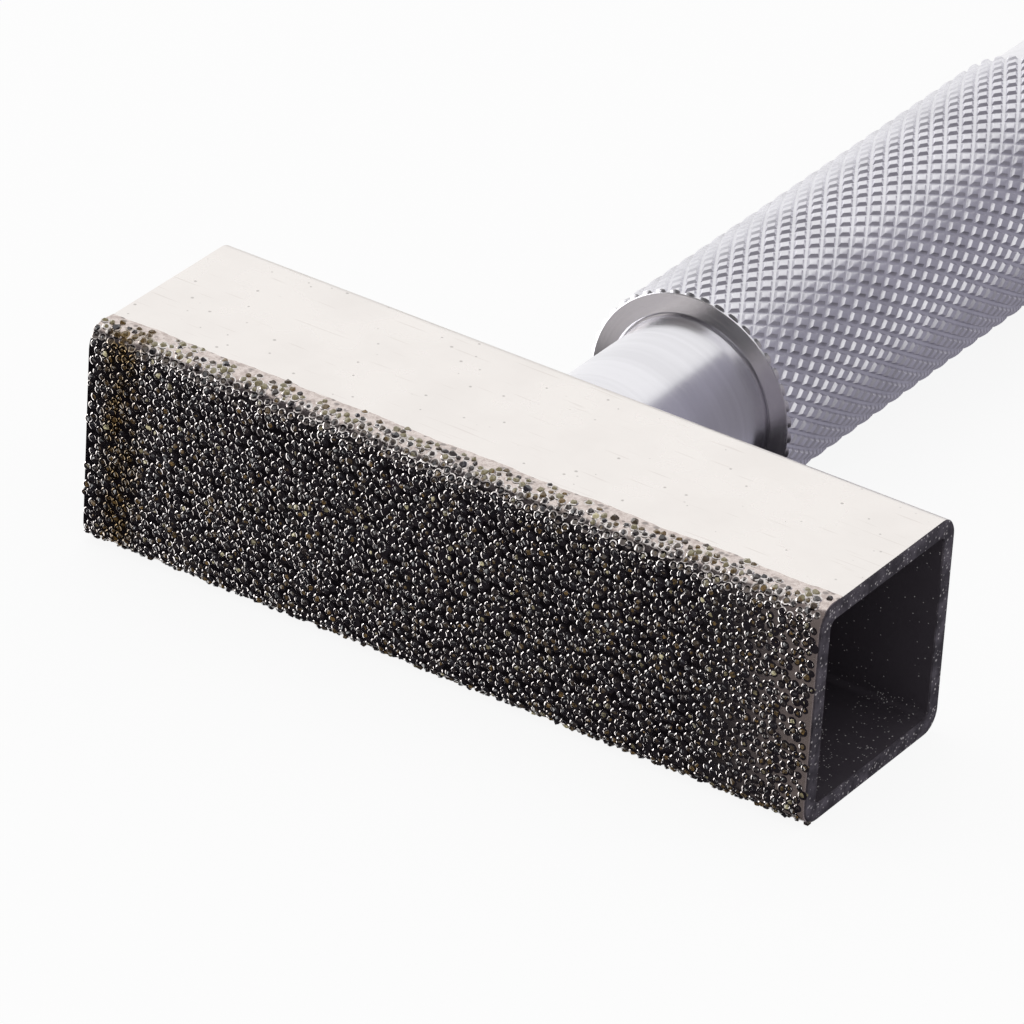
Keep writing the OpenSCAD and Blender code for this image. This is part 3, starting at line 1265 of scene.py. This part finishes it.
@dataclass
class Handle:
    """The turned and knurled handle."""

    low: Vector
    high: Vector
    axis_height: float
    tube_back: float
    spigot_radius: float = 2.95 * MM
    spigot_chamfer: float = 0.3 * MM
    neck_radius: float = 4.8 * MM
    neck_length: float = 10.5 * MM
    collar_radius: float = 4.88 * MM
    collar_length: float = 0.4 * MM
    recess_radius: float = 4.96 * MM
    recess_depth: float = 0.2 * MM
    lip: float = 0.13 * MM
    ring_radius: float = 6.2 * MM
    ring_length: float = 0.11 * MM
    ring_chamfer: float = 0.05 * MM
    knurl_length: float = 35.2245 * MM
    knurl_depth: float = 0.4 * MM
    knurl_starts: int = 42
    knurl_rows: int = 45
    knurl_sharp: float = 35.0
    groove_profile: tuple[Range, ...] = ((0.0, 0.38), (0.1, 0.43), (0.25, 0.86), (0.5, 0.95))
    weld: float = 0.005 * MM
    cut_tolerance: float = 0.0001 * MM
    shank_radius: float = 5.9 * MM
    shank_chamfer: float = 0.8 * MM
    edge_break: float = 0.05 * MM
    core_radius: float = 5.85 * MM
    end_radius: float = 6.14 * MM
    end_slope: float = 0.36
    end_depth: float = 0.48 * MM
    lap: float = 0.4 * MM
    turned_steps: int = 168
    turned_sharp: float = 30.0

    @property
    def ring_front(self) -> float:
        """Place of the flanged ring's face along the handle."""
        return self.tube_back + self.neck_length

    @property
    def knurl_front(self) -> float:
        """Place where the knurl starts."""
        return self.ring_front + self.ring_length

    @property
    def knurl_back(self) -> float:
        """Place where the knurl ends."""
        return self.knurl_front + self.knurl_length

    @property
    def knurl_radius(self) -> float:
        """Radius over the crests, from the handle's box."""
        return (self.high.x - self.low.x) / 2

    @property
    def row_step(self) -> float:
        """Distance from one ring of teeth to the next."""
        return self.knurl_length / self.knurl_rows

    def profile(self) -> list[tuple[float, float]]:
        """Lists the half section of the turned lengths, from the spigot to the rear end.

        Returns:
            The radius and the place along Y of each point.
        """
        ring, small = self.ring_front, self.edge_break
        front, back, rear = self.knurl_front + self.lap, self.knurl_back - self.lap, self.high.y
        return [
            (self.spigot_radius - self.spigot_chamfer, self.low.y),
            (self.spigot_radius, self.low.y + self.spigot_chamfer),
            (self.spigot_radius, self.tube_back),
            (self.neck_radius - small, self.tube_back),
            (self.neck_radius, self.tube_back + small),
            (self.neck_radius, ring - self.collar_length),
            (self.collar_radius, ring - self.collar_length / 2),
            (self.collar_radius, ring + self.recess_depth),
            (self.recess_radius, ring + self.recess_depth),
            (self.recess_radius, ring + self.lip),
            (self.recess_radius + self.lip, ring),
            (self.ring_radius - self.ring_chamfer, ring),
            (self.ring_radius, ring + self.ring_chamfer),
            (self.ring_radius, self.knurl_front + small),
            (self.core_radius, self.knurl_front + small),
            (self.core_radius, front),
            (self.neck_radius, front),
            (self.neck_radius, back),
            (self.shank_radius, back),
            (self.shank_radius, rear - self.shank_chamfer),
            (self.shank_radius - self.shank_chamfer, rear),
        ]

    def build_turned(self, skin: Material) -> Object:
        """Turns everything but the knurl.

        Args:
            skin: The aluminium.

        Returns:
            The turned piece.
        """
        shape = bmesh.new()
        rings = []
        for radius, y in self.profile():
            ring = [(radius * x, y, self.axis_height - radius * z) for x, z in circle(self.turned_steps)]
            rings.append([shape.verts.new(point) for point in ring])
        for first, second in zip(rings, rings[1:]):
            join_rings(shape, first, second)
        shape.faces.new(rings[0])
        shape.faces.new(rings[-1])
        mesh = make_mesh(shape, "handle_turned")
        mesh.materials.append(skin)
        soften(mesh, self.turned_sharp)
        return new_piece("handle_turned", mesh)

    def tooth(self) -> Object:
        """Makes one diamond of the knurl about the handle's axis, from groove to groove.

        Returns:
            An object that isn't in the scene.
        """
        rise = list(self.groove_profile)
        marks = rise + [(1 - place, height) for place, height in reversed(rise[:-1])]
        half_turn = math.pi / self.knurl_starts
        bottom = self.knurl_radius - self.knurl_depth
        shape = bmesh.new()
        grid = []
        for p, p_height in marks:
            row = []
            for q, q_height in marks:
                radius = bottom + self.knurl_depth * min(p_height, q_height)
                angle = (p + q - 1) * half_turn
                point = (radius * math.cos(angle), (p - q) * self.row_step, -radius * math.sin(angle))
                row.append(shape.verts.new(point))
            grid.append(row)
        size = len(marks) - 1
        for i, j in product(range(size), repeat=2):
            a, b, c, d = grid[i][j], grid[i + 1][j], grid[i + 1][j + 1], grid[i][j + 1]
            rising = (i < size / 2) == (j < size / 2)
            for half in ((a, b, c), (a, c, d)) if rising else ((a, b, d), (b, c, d)):
                shape.faces.new(half)
        mesh = make_mesh(shape, "knurl_tooth", outward=False)
        return bpy.data.objects.new(mesh.name, mesh)

    def knurl_tree(self) -> NodeTree:
        """Builds the group that sets the teeth of the knurl in staggered rings along the handle.

        Returns:
            The group.
        """
        inputs = {
            "Geometry": "Geometry", "Tooth": "Object", "Starts": "Int", "Rows": "Int",
            "Row step": "Float", "First row": "Vector", "Material": "Material",
        }
        board, given, result = new_group(Family.GEOMETRY, "knurl", inputs, {"Geometry": "Geometry"})
        starts = given["Starts"]
        index = board.add("GeometryNodeInputIndex").outputs[0]
        row = board.math("FLOOR", board.math("DIVIDE", board.math("ADD", index, 0.5), starts))
        column = board.minus(index, board.times(row, starts))
        stagger = board.times(board.math("MODULO", row, 2.0), 0.5)
        turn = board.times(board.math("ADD", column, stagger), board.math("DIVIDE", math.tau, starts))
        along = board.join(0.0, board.times(row, given["Row step"]))
        points = board.add("GeometryNodePoints", {
            "Count": board.times(board.math("ADD", given["Rows"], 1), starts),
            "Position": board.vector("ADD", given["First row"], along),
        })
        model = board.add("GeometryNodeObjectInfo", {"Object": given["Tooth"]})
        teeth = board.add("GeometryNodeInstanceOnPoints", {
            "Points": points, "Instance": model.outputs["Geometry"], "Rotation": board.join(0.0, turn),
        })
        real = board.add("GeometryNodeRealizeInstances", {"Geometry": teeth})
        whole = board.add("GeometryNodeMergeByDistance", {"Geometry": real, "Distance": self.weld})
        dressed = board.add("GeometryNodeSetMaterial", {"Geometry": whole, "Material": given["Material"]})
        board.feed(result["Geometry"], dressed)
        return board.tree

    def close_end(self, shape: BMesh, place: float, way: int) -> None:
        """Cuts the knurl square at one end and closes it with a low cone and a cap hidden inside.

        Args:
            shape: The knurl.
            place: Where it is cut along Y.
            way: Which side falls off, -1 for the front and 1 for the back.
        """
        everything = shape.verts[:] + shape.edges[:] + shape.faces[:]
        cut = bmesh.ops.bisect_plane(
            shape, geom=everything, dist=self.cut_tolerance, plane_co=(0, place, 0), plane_no=(0, way, 0),
            clear_outer=True,
        )
        rim = [item for item in cut["geom_cut"] if isinstance(item, BMEdge)]
        rise = self.end_slope * (self.knurl_radius - self.end_radius)
        steps = ((self.end_radius, place + way * rise), (self.core_radius, place - way * self.end_depth))
        for radius, y in steps:
            cone = bmesh.ops.extrude_edge_only(shape, edges=rim)["geom"]
            for point in (item for item in cone if isinstance(item, BMVert)):
                out = Vector((point.co.x, 0, point.co.z - self.axis_height)).normalized() * radius
                point.co = Vector((out.x, y, out.z + self.axis_height))
            rim = [item for item in cone if isinstance(item, BMEdge) and item.is_boundary]
        bmesh.ops.edgeloop_fill(shape, edges=rim)

    def build_knurl(self, skin: Material) -> Object:
        """Rolls the knurl and closes both its ends.

        Args:
            skin: The aluminium.

        Returns:
            The knurled band.
        """
        tooth = self.tooth()
        carrier = new_piece("knurl_start", bpy.data.meshes.new("knurl_start"))
        values = {
            "Tooth": tooth, "Starts": self.knurl_starts, "Rows": self.knurl_rows, "Row step": self.row_step,
            "First row": (0.0, self.knurl_front, self.axis_height), "Material": skin,
        }
        piece = run_tree(carrier, self.knurl_tree(), values, "handle_knurl")
        bpy.data.objects.remove(carrier)
        bpy.data.objects.remove(tooth)
        shape = bmesh.new()
        shape.from_mesh(piece.data)
        self.close_end(shape, self.knurl_front, -1)
        self.close_end(shape, self.knurl_back, 1)
        bmesh.ops.recalc_face_normals(shape, faces=shape.faces)
        for face in shape.faces:
            face.material_index = 0
        shape.to_mesh(piece.data)
        shape.free()
        piece.data.materials.clear()
        piece.data.materials.append(skin)
        soften(piece.data, self.knurl_sharp)
        return piece


@dataclass
class Studio:
    """The pale floor, the soft light and the camera at the photograph's viewing angle."""

    floor_height: float
    floor_reach: float = 4.0
    floor_colour: Colour = (0.86, 0.86, 0.86, 1.0)
    floor_glow: float = 0.9
    ambient: float = 0.75
    eye: Vector = field(default_factory=lambda: Vector((190.24, -300.18, 214.9)) * MM)
    right: Vector = field(default_factory=lambda: Vector((0.82577, 0.56131, 0.05506)))
    down: Vector = field(default_factory=lambda: Vector((0.32341, -0.39126, -0.86158)))
    aim: Vector = field(default_factory=lambda: Vector((0.0, 0.01, 0.006)))
    lens: float = 281.25
    film_width: float = 36.0
    clip_start: float = 0.01
    bright: Tone = (2.5, 2.5, 2.5)
    haze: Tone = (0.72, 0.71, 0.7)
    grey: Tone = (0.32, 0.31, 0.37)
    deep_grey: Tone = (0.23, 0.22, 0.25)
    dim: Tone = (0.2, 0.185, 0.18)
    dark: Tone = (0.018, 0.016, 0.02)

    def set_camera(self) -> None:
        """Places the camera."""
        data = bpy.data.cameras.new("camera")
        data.sensor_width = self.film_width
        data.lens = self.lens
        data.clip_start = self.clip_start
        camera = bpy.data.objects.new("camera", data)
        bpy.context.scene.collection.objects.link(camera)
        right = self.right.normalized()
        forward = right.cross(self.down).normalized()
        up = forward.cross(right) * -1
        turn = Matrix((right, up, -forward)).transposed()
        camera.matrix_world = Matrix.Translation(self.eye) @ turn.to_4x4()
        bpy.context.scene.camera = camera

    def set_world(self) -> None:
        """Makes a white surround for what is seen and mirrored, and a softer one for what lights the tool."""
        world = bpy.data.worlds.new("studio")
        bpy.context.scene.world = world
        board = NodeBoard(empty_tree(world))
        path = board.add("ShaderNodeLightPath").outputs
        seen = board.math("MAXIMUM", path["Is Camera Ray"], path["Is Glossy Ray"])
        seen = board.math("MAXIMUM", seen, path["Is Transmission Ray"])
        matt = board.add("ShaderNodeBackground", {"Color": WHITE, "Strength": self.ambient})
        shown = board.add("ShaderNodeBackground", {"Color": WHITE, "Strength": 1.0})
        mixed = board.add("ShaderNodeMixShader", {0: seen, 1: matt, 2: shown})
        board.add("ShaderNodeOutputWorld", {"Surface": mixed})

    def sheet(self, name: str, corners: Iterable[Sequence[float]]) -> tuple[Object, NodeBoard]:
        """Makes a flat sheet with a material of its own.

        Args:
            name: The sheet's name.
            corners: Its four corners.

        Returns:
            The sheet and the board of its material.
        """
        mesh = bpy.data.meshes.new(name)
        mesh.from_pydata(list(corners), [], [(0, 1, 2, 3)])
        skin = bpy.data.materials.new(name)
        mesh.materials.append(skin)
        return new_piece(name, mesh), NodeBoard(empty_tree(skin))

    def set_floor(self) -> None:
        """Lays the pale floor, which shows the tool's shadow and otherwise melts into the white surround."""
        ends = (-self.floor_reach, self.floor_reach)
        floor, board = self.sheet("floor", ((ends[i], ends[j], self.floor_height) for i, j in SQUARE))
        path = board.add("ShaderNodeLightPath").outputs
        matt = board.add("ShaderNodeBsdfDiffuse", {"Color": self.floor_colour})
        glow = board.add("ShaderNodeEmission", {"Color": WHITE, "Strength": 1.0})
        seen = board.math("MAXIMUM", path["Is Camera Ray"], path["Is Glossy Ray"])
        share = board.times(seen, self.floor_glow)
        mixed = board.add("ShaderNodeMixShader", {0: share, 1: matt, 2: glow})
        board.add("ShaderNodeOutputMaterial", {"Surface": mixed})
        floor.visible_glossy = False
        floor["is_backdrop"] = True

    def lamp(self, name: str, place: Vector, size: Range, level: float, mirrored: bool) -> None:
        """Hangs one soft lamp.

        Args:
            name: The lamp's name.
            place: Where it hangs.
            size: Its width and height.
            level: Its brightness as seen in a mirror, where 1 is white.
            mirrored: Whether metal shows it.
        """
        data = bpy.data.lights.new(name, "AREA")
        data.shape = "RECTANGLE"
        data.size, data.size_y = size
        data.energy = level * math.pi * size[0] * size[1]
        lamp = bpy.data.objects.new(name, data)
        bpy.context.scene.collection.objects.link(lamp)
        turn = (self.aim - place).to_track_quat("-Z", "Y").to_matrix().to_4x4()
        lamp.matrix_world = Matrix.Translation(place) @ turn
        lamp.visible_glossy = mirrored

    def card(self, name: str, xs: Range, ys: Range, zs: Range, tone: Tone) -> None:
        """Stands a card, square to one axis, that only shows as a reflection.

        Args:
            name: The card's name.
            xs: Its range along X.
            ys: Its range along Y.
            zs: Its range along Z.
            tone: Its colour as seen in a mirror.
        """
        level = zs[0] == zs[1]
        card, board = self.sheet(name, ((xs[i], ys[j if level else i], zs[j]) for i, j in SQUARE))
        glow = board.add("ShaderNodeEmission", {"Color": (*tone, 1.0), "Strength": 1.0})
        board.add("ShaderNodeOutputMaterial", {"Surface": glow})
        card.visible_camera = False
        card.visible_shadow = False
        card.visible_diffuse = False
        card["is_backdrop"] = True

    def build(self) -> None:
        """Sets up the whole studio."""
        bpy.context.scene.view_settings.view_transform = "Standard"
        self.set_camera()
        self.set_world()
        self.set_floor()
        self.lamp("left_strip", Vector((-0.5, -0.2, 0.05)), size=(0.5, 0.03), level=6.0, mirrored=True)
        self.lamp("top_soft", Vector((-0.25, 0.15, 0.6)), size=(0.5, 0.5), level=1.0, mirrored=False)
        self.card("right_card", (0.5, 0.5), (0.4, 3.5), (-1.5, 1.5), self.grey)
        self.card("side_card", (0.5, 0.5), (-0.55, 0.4), (-1.5, 0.9), self.deep_grey)
        self.card("front_card", (-1.15, 0.5), (-0.55, -0.55), (-1.5, 0.4), self.dark)
        self.card("brow_card", (-1.0, -0.12), (-0.55, -0.55), (0.4, 0.62), self.dim)
        self.card("roof_card", (-1.0, -0.12), (-0.55, -0.22), (0.62, 0.62), self.dim)
        self.card("left_card", (-0.6, -0.6), (-0.33, 0.35), (-0.9, 0.25), self.bright)
        self.card("under_card", (-0.25, -0.05), (-0.5, 0.12), (-0.3, -0.3), self.dark)
        self.card("pit_card", (-0.05, 0.5), (-0.5, 0.26), (-0.3, -0.3), self.dark)
        self.card("low_card", (-0.3, 0.5), (0.26, 1.5), (-0.3, -0.3), self.grey)
        self.card("skyline_card", (-1.25, -0.85), (2.0, 2.0), (-0.8, 0.3), self.haze)


def main() -> None:
    """Builds the tool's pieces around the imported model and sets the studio."""
    logging.basicConfig(level=logging.INFO, format="%(name)s: %(message)s")
    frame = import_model()
    cad_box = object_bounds()
    groups = SurfaceGroups()

    tube = HeadTube(*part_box("head_tube"))
    floor, half_width = tube.low.z + tube.wall, tube.side / 2 - tube.wall
    bore = BoreSkin(groups=groups, floor_height=floor, half_width=half_width)
    skins = [finish.material() for finish in (NickelPlate(groups=groups), CutEnd(groups=groups), bore)]
    seat(tube.build(skins), Slot.NICKEL, "head_tube")

    kinds = (BondNickel, MeniscusNickel, DiamondGrain)
    bond, rim, grain = [kind(groups=groups, middle=tube.axis_height).material() for kind in kinds]
    for piece in DiamondFace(tube).build(bond, rim, grain):
        seat(piece, Slot.GRIT, "diamond_layer")

    handle = Handle(*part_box("handle"), axis_height=tube.axis_height, tube_back=tube.high.y)
    turned = TurnedAluminium(groups=groups, axis_height=tube.axis_height)
    seat(handle.build_turned(turned.material()), Slot.ALUMINIUM, "handle")
    rolled = TurnedAluminium(
        groups=groups, axis_height=tube.axis_height, name="knurled_aluminium",
        light=shade(232, 231, 236), dull=shade(222, 221, 226), roughness=(0.3, 0.38),
    )
    seat(handle.build_knurl(rolled.material()), Slot.ALUMINIUM, "handle")

    zinc = PlatedSteel(
        groups=groups, name="zinc_steel",
        light=shade(206, 208, 206), dull=shade(176, 180, 178), roughness=(0.3, 0.42),
    )
    spring = PlatedSteel(
        groups=groups, name="spring_steel",
        light=shade(150, 150, 152), dull=shade(112, 112, 115), roughness=(0.32, 0.5),
    )
    for node, finish in (("square_nut", zinc), ("spring_washer", spring)):
        mesh = frame["nodes"][node].data
        mesh.materials.clear()
        mesh.materials.append(finish.material())
        LOG.info("%s: %d faces", node, len(mesh.polygons))

    Studio(Vector(cad_box[0]).z).build()


if __name__ == "__main__":
    main()
